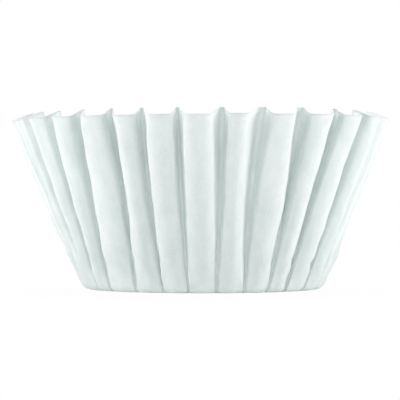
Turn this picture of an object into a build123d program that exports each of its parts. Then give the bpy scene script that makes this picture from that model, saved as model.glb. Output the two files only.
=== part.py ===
from build123d import *
from math import acos, atan2, ceil, cos, degrees, pi, sin, tan
import os

# Basket coffee filter: one disc of filter paper, pressed into a flat-bottomed cup with a fluted wall.
# The origin is the centre of the underside, +Z runs up through the mouth, -Y is the front, and the
# sizes are millimetres. A flute stands between two valleys. Valleys are counted from the one at the
# left of the front flute, round to the right, and each flute has the number of the valley at its left.

# The disc of paper
flat_diameter = 210.0
base_diameter = 82.5
paper = 0.15

# The pressed cup: the rim across its crests, how far it leans to the left of the base, and the fold at the foot
rim_diameter = 132.5
rim_lean = 1.2
corner_radius = 3.5

# The flutes
flute_count = 28
rim_flute_depth = 6.8
foot_flute_depth = 1.2
foot_valley_width = 0.5

# How far each valley stands past its even place, as shares of the pitch
rim_drift_shares = (
    -0.05, 0.03, 0.05, 0.12, 0.26, 0.21, 0.33, 0.42, 0.51, 0.57, 0.53, 0.58, 0.63, 0.60,
    0.66, 0.69, 0.65, 0.70, 0.74, 0.71, 0.72, 0.69, 0.62, 0.58, 0.49, 0.38, 0.24, 0.07,
)
foot_drift_shares = (
    -0.06, -0.03, 0.02, -0.01, -0.17, -0.11, 0.04, 0.11, 0.15, 0.21, 0.30, 0.36, 0.44, 0.54,
    0.56, 0.65, 0.69, 0.77, 0.82, 0.84, 0.86, 0.62, 0.25, -0.02, -0.24, -0.43, -0.14, 0.01,
)

# The width of each valley's floor at the rim, as shares of the pitch
valley_width_shares = (
    0.10, 0.16, 0.26, 0.25, 0.12, 0.12, 0.11, 0.14, 0.09, 0.19, 0.12, 0.10, 0.16, 0.22,
    0.11, 0.09, 0.15, 0.20, 0.11, 0.09, 0.14, 0.12, 0.10, 0.12, 0.16, 0.12, 0.06, 0.15,
)

# How far each flute's left and right shoulders stand in from its valleys at the rim, as shares of its width
left_flank_shares = (
    0.21, 0.09, 0.05, -0.08, -0.23, -0.11, 0.24, 0.30, 0.22, 0.27, 0.20, 0.28, 0.25, 0.30,
    0.22, 0.26, 0.21, 0.29, 0.24, 0.27, 0.22, 0.25, 0.17, 0.23, 0.31, 0.37, 0.35, 0.29,
)
right_flank_shares = (
    0.28, 0.47, 0.41, 0.47, 0.46, 0.45, 0.28, 0.22, 0.29, 0.23, 0.27, 0.21, 0.30, 0.24,
    0.28, 0.22, 0.27, 0.25, 0.21, 0.29, 0.24, 0.26, 0.19, 0.00, -0.05, -0.08, 0.02, 0.08,
)

# The fold at the foot reaches this share of the way in to where it would leave the crests without a crease
corner_tuck_share = 0.985

# How far the blocks that the cup is made of reach into each other, as a share of a flute's width at the rim
lap_share = 0.25

# How far a cut runs past the paper
overrun = 2.0

# Worked out from the sizes above
base_radius = base_diameter / 2
rim_radius = rim_diameter / 2
wall_length = (flat_diameter - base_diameter) / 2
rim_reach = rim_radius - base_radius
rim_height = (wall_length**2 - rim_reach**2) ** 0.5
block_height = wall_length + overrun
pitch = 2 * pi / flute_count
front_turn = -pi / 2
lap = lap_share * pitch * rim_radius
block_reach = 2 * pitch * rim_radius


def share_of(index, shares):
    """Look up a valley's or a flute's own share. The tables go once round the cup."""
    return shares[index % flute_count * len(shares) // flute_count]


def valley_turn(index, drift_shares):
    """Give a valley's angle about the axis: its even place and its drift."""
    return front_turn + (index - 0.5 + share_of(index, drift_shares)) * pitch


def place(radius, turn, height):
    """Give a point by its distance from the axis, which leans to the left as it rises."""
    lean = rim_lean * height / rim_height
    return Vector(radius * cos(turn) - lean, radius * sin(turn), height)


def rim_valley(index, side):
    """Give one side of a valley's floor at the rim: -1 is its left side, 0 its middle and 1 its right side."""
    half_width = share_of(index, valley_width_shares) * pitch / 2
    turn = valley_turn(index, rim_drift_shares) + side * half_width
    return place(rim_radius - rim_flute_depth, turn, rim_height)


def foot_valley(index, side):
    """Give one side of a valley's floor at the foot, in the same way."""
    radius = base_radius - foot_flute_depth
    turn = valley_turn(index, foot_drift_shares) + side * foot_valley_width / 2 / radius
    return place(radius, turn, 0)


def plane_through(start, end, third, inside):
    """Give the plane through three points whose normal points to the side where inside is."""
    normal = (end - start).cross(third - start).normalized()
    if normal.dot(inside - start) < 0:
        normal = normal * -1
    return Plane(origin=start, x_dir=end - start, z_dir=normal)


def upright_plane(turn):
    """Give the upright plane through the axis that looks along the wall at this turn."""
    return Plane(origin=(0, 0, 0), x_dir=(cos(turn), sin(turn), 0), z_dir=(sin(turn), -cos(turn), 0))


def fold_body(inset):
    """Make what the foot is cut to, moved in by inset: the flat floor, the rounded fold, and clear space above."""
    slope = acos(rim_reach / wall_length)
    flat_radius = base_radius - corner_tuck_share * corner_radius * tan(slope / 2)
    with BuildPart() as body:
        with BuildSketch(Plane.XZ):
            with BuildLine():
                floor = Line((0, inset), (flat_radius, inset))
                fold = JernArc(floor @ 1, (1, 0), corner_radius - inset, degrees(slope))
                Polyline(fold @ 1, (2 * rim_radius, block_height), (0, block_height), (0, inset))
            make_face()
        revolve(axis=Axis.Z)
    return body.part


def flute_block(index, inset):
    """Make one flute as a block: a flat crest between two flanks.

    All its outer faces are moved in by inset. Its inner side is hidden in the blocks beside it and the core.
    """
    left_turn = valley_turn(index, rim_drift_shares)
    right_turn = valley_turn(index + 1, rim_drift_shares)
    width = right_turn - left_turn
    left_shoulder_turn = left_turn + share_of(index, left_flank_shares) * width
    right_shoulder_turn = right_turn - share_of(index, right_flank_shares) * width
    rim_turn = (left_shoulder_turn + right_shoulder_turn) / 2
    foot_turn = (valley_turn(index, foot_drift_shares) + valley_turn(index + 1, foot_drift_shares)) / 2
    crest_rim = place(rim_radius, rim_turn, rim_height)
    crest_foot = place(base_radius, foot_turn, 0)

    left_flank = plane_through(
        foot_valley(index, 1),
        rim_valley(index, 1),
        place(rim_radius, left_shoulder_turn, rim_height),
        crest_rim,
    )
    right_flank = plane_through(
        foot_valley(index + 1, -1),
        rim_valley(index + 1, -1),
        place(rim_radius, right_shoulder_turn, rim_height),
        crest_rim,
    )

    view = upright_plane((rim_turn + foot_turn) / 2)
    foot_radius = crest_foot.dot(view.x_dir)
    reach = crest_rim.dot(view.x_dir) - foot_radius
    slope = atan2(rim_height, reach)
    top_radius = foot_radius + reach * block_height / rim_height - inset / sin(slope)
    low_radius = foot_radius - reach * overrun / rim_height - inset / sin(slope)
    with BuildPart() as flute:
        with BuildSketch(view):
            with BuildLine():
                Polyline(
                    (low_radius, -overrun),
                    (top_radius, block_height),
                    (top_radius - rim_flute_depth - 3 * lap, block_height),
                    (low_radius - foot_flute_depth - corner_radius - lap, -overrun),
                    close=True,
                )
            make_face()
        extrude(amount=block_reach, both=True)
        split(bisect_by=left_flank.offset(inset), keep=Keep.TOP)
        split(bisect_by=right_flank.offset(inset), keep=Keep.TOP)
    return flute.part


def valley_block(index, inset):
    """Make the block under one valley's floor, its floor moved in by inset."""
    foot = foot_valley(index, 0)
    rim = rim_valley(index, 0)
    floor = plane_through(foot, rim, rim_valley(index, 1), Vector(0, 0, rim_height / 2)).offset(inset)
    half_width = (rim_valley(index, 1) - rim_valley(index, -1)).length / 2
    length = (rim - foot).length
    with BuildPart() as valley:
        with BuildSketch(floor):
            with BuildLine():
                Polyline(
                    (-lap, -3 * lap / 4),
                    (length + 2 * lap, -half_width - 1.5 * lap),
                    (length + 2 * lap, half_width + 1.5 * lap),
                    (-lap, 3 * lap / 4),
                    close=True,
                )
            make_face()
        extrude(amount=2 * lap)
    return valley.part


def filled_cup(inset):
    """Make the cup as a solid block, taller than the rim, with all its faces moved in by inset.

    The flutes and valleys are joined in quarters of the ring, and the quarters round a plain core.
    """
    quarters = []
    quarter_count = ceil(flute_count / 4)
    for first in range(0, flute_count, quarter_count):
        blocks = []
        for index in range(first, min(first + quarter_count, flute_count)):
            blocks += [valley_block(index, inset), flute_block(index, inset)]
        with BuildPart() as quarter:
            for block in blocks:
                add(block)
        quarters.append(quarter.part)
    valley_reach = rim_reach - rim_flute_depth + foot_flute_depth - rim_lean
    valley_top = base_radius - foot_flute_depth + valley_reach * block_height / rim_height
    fold = fold_body(inset)
    with BuildPart() as cup:
        Cone(
            base_radius - corner_radius - inset,
            valley_top - lap / 2 - inset,
            block_height,
            align=(Align.CENTER, Align.CENTER, Align.MIN),
        )
        add(quarters)
        add(fold, mode=Mode.INTERSECT)
    return cup.part


outside = filled_cup(0)
inside = filled_cup(paper)

with BuildPart() as filter_paper:
    add(outside)
    with BuildSketch(Plane.XZ):
        with BuildLine():
            edge = CenterArc((base_radius, 0), wall_length, 0, 90)
            Polyline(edge @ 1, (0, wall_length), (0, -overrun), (base_radius + wall_length, -overrun), edge @ 0)
        make_face()
    revolve(axis=Axis.Z, mode=Mode.INTERSECT)
    add(inside, mode=Mode.SUBTRACT)

filter_paper.part.label = "filter_paper"

os.makedirs("parts", exist_ok=True)
export_step(filter_paper.part, "parts/filter_paper.step")
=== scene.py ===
from math import pi, radians

import bpy
import numpy as np
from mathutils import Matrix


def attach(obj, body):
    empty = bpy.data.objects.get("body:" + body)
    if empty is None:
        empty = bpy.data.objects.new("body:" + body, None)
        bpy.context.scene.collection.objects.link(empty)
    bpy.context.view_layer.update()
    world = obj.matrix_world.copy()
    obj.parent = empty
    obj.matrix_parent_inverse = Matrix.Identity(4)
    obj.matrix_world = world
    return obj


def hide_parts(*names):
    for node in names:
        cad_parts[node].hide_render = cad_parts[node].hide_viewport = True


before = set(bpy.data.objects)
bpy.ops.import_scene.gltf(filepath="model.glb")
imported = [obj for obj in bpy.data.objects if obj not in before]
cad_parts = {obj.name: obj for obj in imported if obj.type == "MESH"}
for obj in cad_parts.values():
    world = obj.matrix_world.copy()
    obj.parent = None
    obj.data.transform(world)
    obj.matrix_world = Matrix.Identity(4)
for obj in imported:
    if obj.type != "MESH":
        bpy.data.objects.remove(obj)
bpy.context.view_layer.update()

# Sizes are metres. Those of the pressed sheet repeat the frame's: its disc of paper, its base and its rim
MM = 0.001
BASE_RADIUS = 41.25 * MM
WALL_LENGTH = 63.75 * MM
RIM_RADIUS = 66.25 * MM
RIM_LEAN = 1.2 * MM
PAPER = 0.15 * MM
FLUTES = 28

# The valleys' places, as shares of the pitch past their even places, counted round from the left of the front
RIM_DRIFT = np.array([
    -0.05, 0.03, 0.05, 0.12, 0.26, 0.21, 0.33, 0.42, 0.51, 0.57, 0.53, 0.58, 0.63, 0.60,
    0.66, 0.69, 0.65, 0.70, 0.74, 0.71, 0.72, 0.69, 0.62, 0.58, 0.49, 0.38, 0.24, 0.07,
])
FOOT_DRIFT = np.array([
    -0.06, -0.03, 0.02, -0.01, -0.17, -0.11, 0.04, 0.11, 0.15, 0.21, 0.30, 0.36, 0.44, 0.54,
    0.56, 0.65, 0.69, 0.77, 0.82, 0.84, 0.86, 0.62, 0.25, -0.02, -0.24, -0.43, -0.14, 0.01,
])
# How far each valley bows to the right of its straight line, as shares of the pitch
BOW = np.array([
    -0.03, 0.03, -0.09, 0.05, 0.02, 0.03, -0.03, 0.04, 0.02, -0.04, 0.03, -0.02, 0.05, -0.03,
    0.02, 0.04, -0.05, 0.03, -0.02, 0.04, -0.03, 0.02, 0.03, -0.02, 0.02, 0.03, 0.12, -0.07,
])
# Width of each valley's floor at the rim, as shares of the pitch
VALLEY_WIDTH = np.array([
    0.08, 0.12, 0.17, 0.16, 0.10, 0.09, 0.11, 0.14, 0.09, 0.19, 0.12, 0.10, 0.16, 0.22,
    0.11, 0.09, 0.15, 0.20, 0.11, 0.09, 0.14, 0.12, 0.10, 0.09, 0.10, 0.07, 0.06, 0.09,
])
# How far each flute's two shoulders stand in from its valleys at the rim, as shares of the flute's width
LEFT_FLANK = np.array([
    0.21, 0.09, 0.05, -0.08, -0.23, -0.11, 0.24, 0.30, 0.22, 0.27, 0.20, 0.28, 0.25, 0.30,
    0.22, 0.26, 0.21, 0.29, 0.24, 0.27, 0.22, 0.25, 0.17, 0.23, 0.31, 0.37, 0.35, 0.29,
])
RIGHT_FLANK = np.array([
    0.28, 0.47, 0.41, 0.47, 0.46, 0.45, 0.28, 0.22, 0.29, 0.23, 0.27, 0.21, 0.30, 0.24,
    0.28, 0.22, 0.27, 0.25, 0.21, 0.29, 0.24, 0.26, 0.19, 0.00, -0.05, -0.08, 0.02, 0.08,
])
# How sharply each shoulder is pressed: fully where the flank beside it is wide
LEFT_SHARP = np.clip((LEFT_FLANK + 0.05) / 0.3, 0, 1)
RIGHT_SHARP = np.clip((RIGHT_FLANK + 0.05) / 0.3, 0, 1)
RIM_DEPTH = 6.8 * MM
FOOT_DEPTH = 1.2 * MM
FOOT_VALLEY_HALF = 0.25 * MM
CREST_BULGE = 0.7 * MM

# How far from a corner its rounding starts: at a valley, and at a shoulder that is pressed sharply or softly
VALLEY_REACH = 0.5 * MM
SHARP_REACH = 0.9 * MM
SOFT_REACH = 2.4 * MM
# No rounding takes more than this share of a side
SIDE_SHARE = 0.42

# The fold at the foot starts this far from the corner, and the valleys fade out over the border inside it
FOLD_REACH = 2.6 * MM
BASE_BORDER = 1.2 * MM
# How far the base's points are evened out round the axis
EVEN_SHARE = 0.03

# Dents of the paper: wavelength, seed and height. The puckers are dents only in a band near the foot
DENTS = ((22 * MM, 3, 0.18 * MM), (9 * MM, 4, 0.06 * MM))
PUCKERS = (4.5 * MM, 5, 0.2 * MM)
PUCKER_HEIGHT = 9 * MM
PUCKER_BAND = 5 * MM
# The base is flat, and the dents grow to their full height over this much of the wall
DENT_RISE = 5 * MM

# Painted light and shade on the flutes, where the shoulder beside them is soft and where it is sharp: sharp
# shoulders get a painted highlight, and valley corners, soft shoulders and crest middles get painted shade
CORNER_PAINTED_LIGHT = (0.7, 0.45)
FLANK_PAINTED_LIGHT = (0.7, 1.0)
SHOULDER_PAINTED_LIGHT = (0.15, 1.0)
CREST_PAINTED_LIGHT = (0.2, 0.95)
# Painted shade: how much darker a crest's middle is than its sides
CREST_PAINTED_SHADE_DIP = 0.75
# Painted light on the valley floors, which lightens the shade in the grooves
VALLEY_PAINTED_LIGHT = 0.9
# The base's one even level of painted light and shade
BASE_PAINTED_LIGHT = 0.75
# How many rows up the wall the painted light and shade take to fade in
PAINTED_LIGHT_ROWS = 4

# The sheet's grid: points round each corner of a flute, points inside each of its flats, and rows
CORNER_POINTS = 5
FLAT_POINTS = (1, 2, 5, 2)
CREST_PLACE = 2
RINGS = 400
WALL_ROWS = 40
FOLD_ROWS = 6
BASE_ROWS = 6

CAMERA_DISTANCE = 0.770
CAMERA_HEIGHT = 0.031
LENS = 198.0

# Lamps: name, angle from the front, elevation, size and watts
LAMPS = (
    ("left_softbox", -74, 12, 0.8, 9.0),
    ("right_softbox", 74, 12, 0.8, 9.0),
    ("top_softbox", 180, 60, 0.9, 9.0),
)
LAMP_DISTANCE = 1.2
LAMP_AIM_HEIGHT = 0.03
AMBIENT = 0.57
FLOOR_HALF_SIZE = 6.0


def mix(a, b, share):
    """The value at share of the way from a to b."""
    return a + (b - a) * share


def parabola(start, corner, end, t):
    """The parabola from start to end that leaves and arrives along the lines to the corner."""
    return start * (1 - t) ** 2 + corner * 2 * t * (1 - t) + end * t**2


def smooth_noise(points, wavelength, seed, waves=24):
    """Sum of sine waves of about one wavelength, in random directions and phases, scaled to about -1 to 1."""
    rng = np.random.default_rng(seed)
    ways = rng.normal(size=(waves, 3))
    ways /= np.linalg.norm(ways, axis=1, keepdims=True)
    ways *= 2 * pi / wavelength * rng.uniform(0.6, 1.4, size=(waves, 1))
    phases = rng.uniform(0, 2 * pi, size=waves)
    total = np.zeros(points.shape[:-1])
    for way, phase in zip(ways, phases):
        total += np.sin(points @ way + phase)
    return total / np.sqrt(waves / 2)


def flute_rings(share):
    """Level outlines of the flutes, one for each share of the wall's height.

    Each flute has four corners: the two sides of its valley's floor, where the wall stands in by the depth,
    and two shoulders on the crest circle. A shoulder stands away from its valley in proportion to the depth,
    so the flanks keep their slope. Every corner is rounded by the parabola that starts and ends a reach away
    from it along its two sides. The floors and flanks are straight, and a crest bulges by a parabola, less
    and less towards the rim.
    """
    share = share[:, None]
    index = np.arange(FLUTES)
    pitch = 2 * pi / FLUTES
    crest_radius = mix(BASE_RADIUS, RIM_RADIUS, share)
    depth = mix(FOOT_DEPTH, RIM_DEPTH, share)
    drift = mix(FOOT_DRIFT, RIM_DRIFT, share) + BOW * 4 * share * (1 - share)
    valley = -pi / 2 + (index - 0.5 + drift) * pitch

    rim_valley = (index - 0.5 + RIM_DRIFT) * pitch
    rim_width = np.append(rim_valley[1:], rim_valley[0] + 2 * pi) - rim_valley
    rim_valley_half = VALLEY_WIDTH / 2 * pitch * (RIM_RADIUS - RIM_DEPTH)
    valley_half = mix(FOOT_VALLEY_HALF, rim_valley_half, share) / (crest_radius - depth)
    opening = depth / RIM_DEPTH * RIM_RADIUS / crest_radius
    left_shoulder = valley + valley_half + (LEFT_FLANK * rim_width - VALLEY_WIDTH / 2 * pitch) * opening
    right_flank = (RIGHT_FLANK * rim_width - np.roll(VALLEY_WIDTH, -1) / 2 * pitch) * opening
    next_valley = np.roll(valley, -1, axis=1) + 2 * pi * (index == FLUTES - 1)
    right_shoulder = next_valley - np.roll(valley_half, -1, axis=1) - right_flank
    turns = np.stack([valley - valley_half, valley + valley_half, left_shoulder, right_shoulder], axis=2)
    crest = np.broadcast_to(crest_radius, valley.shape)
    radii = np.stack([crest - depth, crest - depth, crest, crest], axis=2)
    rows = len(share)
    turns, radii = turns.reshape(rows, -1), radii.reshape(rows, -1)
    corners = np.stack([radii * np.cos(turns) - RIM_LEAN * share, radii * np.sin(turns)], axis=2)

    side = np.roll(corners, -1, axis=1) - corners
    side_length = np.linalg.norm(side, axis=2)
    way = side / side_length[:, :, None]
    left_reach = mix(SOFT_REACH, SHARP_REACH, LEFT_SHARP)
    right_reach = mix(SOFT_REACH, SHARP_REACH, RIGHT_SHARP)
    valley_reach = np.full(FLUTES, VALLEY_REACH)
    wanted = np.stack([valley_reach, valley_reach, left_reach, right_reach], axis=1).ravel()
    reach_after = np.minimum(wanted, SIDE_SHARE * side_length)
    reach_before = np.minimum(wanted, SIDE_SHARE * np.roll(side_length, 1, axis=1))
    start = corners - np.roll(way, 1, axis=1) * reach_before[:, :, None]
    end = corners + way * reach_after[:, :, None]

    t = np.linspace(0, 1, CORNER_POINTS)[:, None]
    bend = parabola(start[:, :, None], corners[:, :, None], end[:, :, None], t)
    following = np.roll(start, -1, axis=1)
    parts = []
    for place, points in enumerate(FLAT_POINTS):
        first, last = end[:, place::4, None], following[:, place::4, None]
        f = ((np.arange(points) + 1) / (points + 1))[:, None]
        flat = mix(first, last, f)
        if place == CREST_PLACE:
            outward = flat / np.linalg.norm(flat, axis=3, keepdims=True)
            flat = flat + outward * (CREST_BULGE * 4 * f * (1 - f) * (1 - share**2)[:, :, None, None])
        parts += [bend[:, place::4], flat]
    return np.concatenate(parts, axis=2).reshape(rows, -1, 2)


def sheet_rows():
    """Points of the sheet's outer face, as rows from the base's middle to the cut edge.

    A row on the wall lies at one distance along the paper from the foot, so its height is the third side of a
    right triangle over how far the row stands out. The base is flat, and a parabola joins it to the wall. The
    base's points keep their order round the axis, also where a flank overhangs its valley.
    """
    share = np.linspace(0, 1, RINGS)
    ring = flute_rings(share)
    foot = ring[0]
    foot_radius = np.linalg.norm(foot, axis=1)
    radius = np.linalg.norm(ring, axis=2)
    reference = mix(foot_radius, BASE_RADIUS, share[:, None])
    height = np.sqrt(np.maximum((share[:, None] * WALL_LENGTH) ** 2 - (radius - reference) ** 2, 0))
    wall = np.concatenate([ring, height[:, :, None]], axis=2)

    rows = mix(FOLD_REACH / WALL_LENGTH, 1, np.linspace(0, 1, WALL_ROWS))
    at = rows * (len(share) - 1)
    low = np.minimum(at.astype(int), len(share) - 2)
    wall_rows = mix(wall[low], wall[low + 1], (at - low)[:, None, None])

    turn = np.maximum.accumulate(np.unwrap(np.arctan2(foot[:, 1], foot[:, 0])))
    turn = mix(turn, turn[0] + np.linspace(0, 2 * pi, len(turn), endpoint=False), EVEN_SHARE)
    spoke = np.stack([np.cos(turn), np.sin(turn), 0 * turn], axis=1)
    inner = spoke * (foot_radius - FOLD_REACH)[:, None]
    t = np.linspace(0, 1, FOLD_ROWS, endpoint=False)[:, None, None]
    fold_rows = parabola(inner, wall[0], wall_rows[0], t)

    scale = np.linspace(0.02, 1, BASE_ROWS, endpoint=False)[:, None, None]
    circle = spoke * (BASE_RADIUS - FOLD_REACH - BASE_BORDER)
    base_rows = mix(circle, inner, scale**6) * scale
    return np.concatenate([base_rows, fold_rows, wall_rows])


def grid_normals(points):
    """Unit normals of a grid closed round its rows: cross products of the steps between neighbours."""
    along = np.gradient(points, axis=0)
    around = np.roll(points, -1, axis=1) - np.roll(points, 1, axis=1)
    normal = np.cross(around, along)
    return normal / np.maximum(np.linalg.norm(normal, axis=2, keepdims=True), 1e-12)


def grid_faces(rows, count, first, flip):
    """Faces of a grid closed round its rows, as index lists, starting at vertex first."""
    r, c = np.meshgrid(np.arange(rows - 1), np.arange(count), indexing="ij")
    n = (c + 1) % count
    faces = np.stack([r * count + c, r * count + n, (r + 1) * count + n, (r + 1) * count + c], axis=2)
    faces = faces.reshape(-1, 4) + first
    return faces[:, ::-1] if flip else faces


def painted_light_values(rows):
    """Painted light and shade at each point, from 0 for the deepest painted shade to 1 for the palest painted
    light, the same up the whole wall.

    Corners, flanks, shoulders and crests each have a value for a soft and for a sharp shoulder, and how
    sharply the shoulder beside them is pressed mixes the two. On a crest that sharpness runs evenly from the
    left shoulder's to the right one's, less a parabola with its dip in the middle. Valley floors and the base
    have one value each, and the flutes' own values fade in over the first rows of the wall.
    """
    left, right = LEFT_SHARP[:, None], RIGHT_SHARP[:, None]
    before = np.roll(right, 1, axis=0)
    t = np.linspace(0, 1, FLAT_POINTS[CREST_PLACE] + 2)[None, 1:-1]
    # Painted shade: each crest darkens towards its middle, and its sides are paler
    crest = mix(left, right, t) - np.minimum(left, right) * CREST_PAINTED_SHADE_DIP * 4 * t * (1 - t)
    corner_row = np.ones((1, CORNER_POINTS))
    # Darker valley corners are painted shade, and paler sharp shoulders are painted highlights
    parts = [
        mix(*CORNER_PAINTED_LIGHT, before) * corner_row,
        np.full((FLUTES, FLAT_POINTS[0]), VALLEY_PAINTED_LIGHT),
        mix(*CORNER_PAINTED_LIGHT, left) * corner_row,
        mix(*FLANK_PAINTED_LIGHT, left) * np.ones((1, FLAT_POINTS[1])),
        mix(*SHOULDER_PAINTED_LIGHT, left) * corner_row,
        mix(*CREST_PAINTED_LIGHT, crest),
        mix(*SHOULDER_PAINTED_LIGHT, right) * corner_row,
        mix(*FLANK_PAINTED_LIGHT, right) * np.ones((1, FLAT_POINTS[3])),
    ]
    wall = np.concatenate(parts, axis=1).ravel()
    fade = np.clip((np.arange(rows) - BASE_ROWS - FOLD_ROWS) / PAINTED_LIGHT_ROWS, 0, 1)[:, None]
    return mix(BASE_PAINTED_LIGHT, wall, fade)


def dent_heights(points):
    """How far the dents move each point: two lengths of waves everywhere, and short ones in a band.

    All of them fade out towards the floor.
    """
    height = points[:, :, 2]
    dents = sum(smooth_noise(points, wavelength, seed) * size for wavelength, seed, size in DENTS)
    wavelength, seed, size = PUCKERS
    band = np.exp(-(((height - PUCKER_HEIGHT) / PUCKER_BAND) ** 2))
    dents = dents + smooth_noise(points, wavelength, seed) * band * size
    return dents * np.clip(height / DENT_RISE, 0, 1)


def make_mesh(name, vertices, faces, triangles):
    """A mesh object from arrays of vertices, quads and triangles, shaded smooth."""
    mesh = bpy.data.meshes.new(name)
    mesh.from_pydata(vertices.tolist(), [], faces.tolist() + triangles.tolist())
    mesh.polygons.foreach_set("use_smooth", np.ones(len(mesh.polygons), dtype=bool))
    mesh.update()
    piece = bpy.data.objects.new(name, mesh)
    bpy.context.scene.collection.objects.link(piece)
    return piece


def filter_sheet():
    """The pressed sheet as a closed thin solid: an outer face, that face moved in by the paper, and the edge.

    The dents move the outer face along its normals. The inner face stays at least the paper's thickness up.
    """
    outer = sheet_rows()
    outer = outer + grid_normals(outer) * dent_heights(outer)[:, :, None]
    inner = outer - grid_normals(outer) * PAPER
    inner[:, :, 2] = np.maximum(inner[:, :, 2], PAPER)
    rows, count = outer.shape[:2]

    vertices = np.concatenate([
        outer.reshape(-1, 3),
        inner.reshape(-1, 3),
        [[0, 0, 0], [0, 0, PAPER]],
    ])
    last = rows * count
    column = np.arange(count)
    following = (column + 1) % count
    edge_row = (rows - 1) * count
    edge = np.stack([
        edge_row + column, edge_row + following, last + edge_row + following, last + edge_row + column,
    ], axis=1)
    under_fan = np.stack([following, column, np.full(count, 2 * last)], axis=1)
    floor_fan = np.stack([last + column, last + following, np.full(count, 2 * last + 1)], axis=1)
    faces = np.concatenate([grid_faces(rows, count, 0, False), grid_faces(rows, count, last, True), edge])
    sheet = make_mesh("filter_sheet", vertices, faces, np.concatenate([under_fan, floor_fan]))
    # Painted light and shade per point, kept as a mesh attribute that the paper's colour reads
    painted_light = painted_light_values(rows).ravel()
    attribute = sheet.data.attributes.new("painted_light", "FLOAT", "POINT")
    middles = [BASE_PAINTED_LIGHT, BASE_PAINTED_LIGHT]
    attribute.data.foreach_set("value", np.concatenate([painted_light, painted_light, middles]).astype(np.float32))
    return sheet


class Sock:
    """A shader value. Its operators add Math nodes."""

    def __init__(self, tree, socket):
        self.tree = tree
        self.socket = socket

    def _math(self, operation, *values):
        node = self.tree.nodes.new("ShaderNodeMath")
        node.operation = operation
        for place, value in enumerate(values):
            if isinstance(value, Sock):
                self.tree.links.new(value.socket, node.inputs[place])
            else:
                node.inputs[place].default_value = value
        return Sock(self.tree, node.outputs[0])

    def __add__(self, other):
        return self._math("ADD", self, other)

    __radd__ = __add__

    def __sub__(self, other):
        return self._math("SUBTRACT", self, other)

    def __rsub__(self, other):
        return self._math("SUBTRACT", other, self)

    def __mul__(self, other):
        return self._math("MULTIPLY", self, other)

    __rmul__ = __mul__


class Shader:
    """A material's node tree, emptied, with one method that adds a node."""

    def __init__(self, name):
        self.material = bpy.data.materials.new(name)
        self.material.use_nodes = True
        self.tree = self.material.node_tree
        self.tree.nodes.clear()

    def node(self, kind, settings=None, inputs=None, output=0):
        """Adds a node: its settings first, then the values or links of its sockets."""
        node = self.tree.nodes.new(kind)
        for key, value in (settings or {}).items():
            setattr(node, key, value)
        for key, value in (inputs or {}).items():
            if isinstance(value, Sock):
                self.tree.links.new(value.socket, node.inputs[key])
            else:
                node.inputs[key].default_value = value
        return Sock(self.tree, node.outputs[output])

    def surface(self, shader):
        """Makes this shader the material's surface, and returns the material."""
        output = self.tree.nodes.new("ShaderNodeOutputMaterial")
        self.tree.links.new(shader.socket, output.inputs["Surface"])
        return self.material


def paper_material():
    """Bleached filter paper: matt, lets light through, with a fine fibrous grain and upright streaks.

    The tone between a darker and a paler white is the painted light and shade along the flutes plus the grain
    and the streaks, each about its own middle.
    """
    shader = Shader("filter_paper")
    place = shader.node("ShaderNodeTexCoord", output="Object")
    fibre = shader.node(
        "ShaderNodeTexNoise", None, {"Vector": place, "Scale": 1600.0, "Detail": 4.0, "Roughness": 0.6}
    )
    cloud = shader.node(
        "ShaderNodeTexNoise", None, {"Vector": place, "Scale": 260.0, "Detail": 3.0, "Roughness": 0.6}
    )
    grain = fibre * 0.6 + cloud * 0.4
    upright = shader.node("ShaderNodeMapping", None, {"Vector": place, "Scale": (1.0, 1.0, 0.04)})
    streak = shader.node("ShaderNodeTexNoise", None, {"Vector": upright, "Scale": 330.0, "Detail": 2.0})
    # Painted light and shade from the mesh attribute, added to the paper's own grain and streaks
    painted_light = shader.node("ShaderNodeAttribute", {"attribute_name": "painted_light"}, output="Fac")
    painted_light_and_grain = painted_light * 0.85 + (grain - 0.42) * 1.1 + (streak - 0.5) * 0.7
    # A, a cool grey-green, is the tone of the deepest painted shade, and B is the tone of the palest painted
    # light
    tone = shader.node(
        "ShaderNodeMix",
        {"data_type": "RGBA"},
        {"Factor": painted_light_and_grain, "A": (0.66, 0.73, 0.721, 1), "B": (0.96, 0.982, 0.978, 1)},
        output=2,
    )
    bump = shader.node("ShaderNodeBump", None, {"Height": grain, "Strength": 0.9, "Distance": 0.0003})
    front = shader.node(
        "ShaderNodeBsdfPrincipled",
        None,
        {"Base Color": tone, "Roughness": 0.9, "Normal": bump, "Specular IOR Level": 0.2},
    )
    through = shader.node(
        "ShaderNodeBsdfTranslucent", None, {"Color": (0.92, 0.955, 0.949, 1), "Normal": bump}
    )
    both = shader.node("ShaderNodeMixShader", None, {0: 0.45, 1: front, 2: through})
    return shader.surface(both)


def floor_material():
    """A white floor that shows plain white to the camera, and round the cup's foot a part of its shadow."""
    shader = Shader("studio_floor")
    place = shader.node("ShaderNodeTexCoord", output="Object")
    distance = shader.node("ShaderNodeVectorMath", {"operation": "LENGTH"}, {0: place}, output="Value")
    nearness = shader.node(
        "ShaderNodeMapRange",
        {"interpolation_type": "SMOOTHSTEP"},
        {
            "Value": distance,
            "From Min": BASE_RADIUS,
            "From Max": 2 * RIM_RADIUS,
            "To Min": 1.0,
            "To Max": 0.0,
        },
    )
    diffuse = shader.node("ShaderNodeBsdfDiffuse", None, {"Color": (0.85, 0.85, 0.85, 1)})
    white = shader.node("ShaderNodeEmission", None, {"Color": (1, 1, 1, 1), "Strength": 1.0})
    camera_ray = shader.node("ShaderNodeLightPath", output="Is Camera Ray")
    share = camera_ray * (1 - nearness * 0.06)
    return shader.surface(shader.node("ShaderNodeMixShader", None, {0: share, 1: diffuse, 2: white}))


def make_camera():
    """The photograph's camera: level, at half the cup's height, far enough away to look nearly flat."""
    data = bpy.data.cameras.new("camera")
    data.lens = LENS
    data.sensor_width = 36.0
    data.clip_end = 20.0
    camera = bpy.data.objects.new("camera", data)
    camera.location = (-RIM_LEAN, -CAMERA_DISTANCE, CAMERA_HEIGHT)
    camera.rotation_euler = (pi / 2, 0, 0)
    bpy.context.scene.collection.objects.link(camera)
    bpy.context.scene.camera = camera


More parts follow.
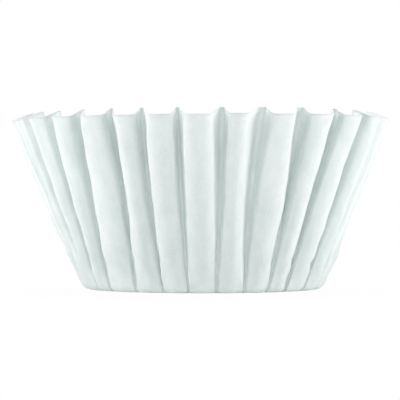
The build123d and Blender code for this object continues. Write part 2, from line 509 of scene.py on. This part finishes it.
def make_floor():
    """The floor is one square, wide enough to pass the edges of every view."""
    vertices = np.array([[-1, -1, 0], [1, -1, 0], [1, 1, 0], [-1, 1, 0]]) * FLOOR_HALF_SIZE
    floor = make_mesh("floor", vertices, np.array([[0, 1, 2, 3]]), np.empty((0, 3), dtype=int))
    floor.data.materials.append(floor_material())


def make_lamp(name, azimuth, elevation, size, power):
    """A soft square lamp that faces the middle of the cup, on a sphere round it.

    Its place is the sphere's point at the angle from the front and the elevation.
    """
    data = bpy.data.lights.new(name, "AREA")
    data.shape = "SQUARE"
    data.size = size
    data.energy = power
    lamp = bpy.data.objects.new(name, data)
    a, e = radians(azimuth), radians(elevation)
    lamp.location = (
        LAMP_DISTANCE * np.sin(a) * np.cos(e),
        -LAMP_DISTANCE * np.cos(a) * np.cos(e),
        LAMP_DISTANCE * np.sin(e) + LAMP_AIM_HEIGHT,
    )
    lamp.rotation_euler = (pi / 2 - e, 0, a)
    bpy.context.scene.collection.objects.link(lamp)


def make_world():
    """White to the camera, and an even soft light on the object."""
    world = bpy.data.worlds.new("studio")
    bpy.context.scene.world = world
    world.use_nodes = True
    tree = world.node_tree
    tree.nodes.clear()
    light_path = tree.nodes.new("ShaderNodeLightPath")
    seen = tree.nodes.new("ShaderNodeBackground")
    seen.inputs["Color"].default_value = (1, 1, 1, 1)
    seen.inputs["Strength"].default_value = 1.0
    ambient = tree.nodes.new("ShaderNodeBackground")
    ambient.inputs["Color"].default_value = (1, 1, 1, 1)
    ambient.inputs["Strength"].default_value = AMBIENT
    both = tree.nodes.new("ShaderNodeMixShader")
    output = tree.nodes.new("ShaderNodeOutputWorld")
    tree.links.new(light_path.outputs["Is Camera Ray"], both.inputs[0])
    tree.links.new(ambient.outputs[0], both.inputs[1])
    tree.links.new(seen.outputs[0], both.inputs[2])
    tree.links.new(both.outputs[0], output.inputs["Surface"])


make_camera()
make_floor()
make_world()
for lamp_settings in LAMPS:
    make_lamp(*lamp_settings)
bpy.context.scene.view_settings.view_transform = "Standard"

sheet = filter_sheet()
sheet.data.materials.append(paper_material())
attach(sheet, "root")
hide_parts("filter_paper")
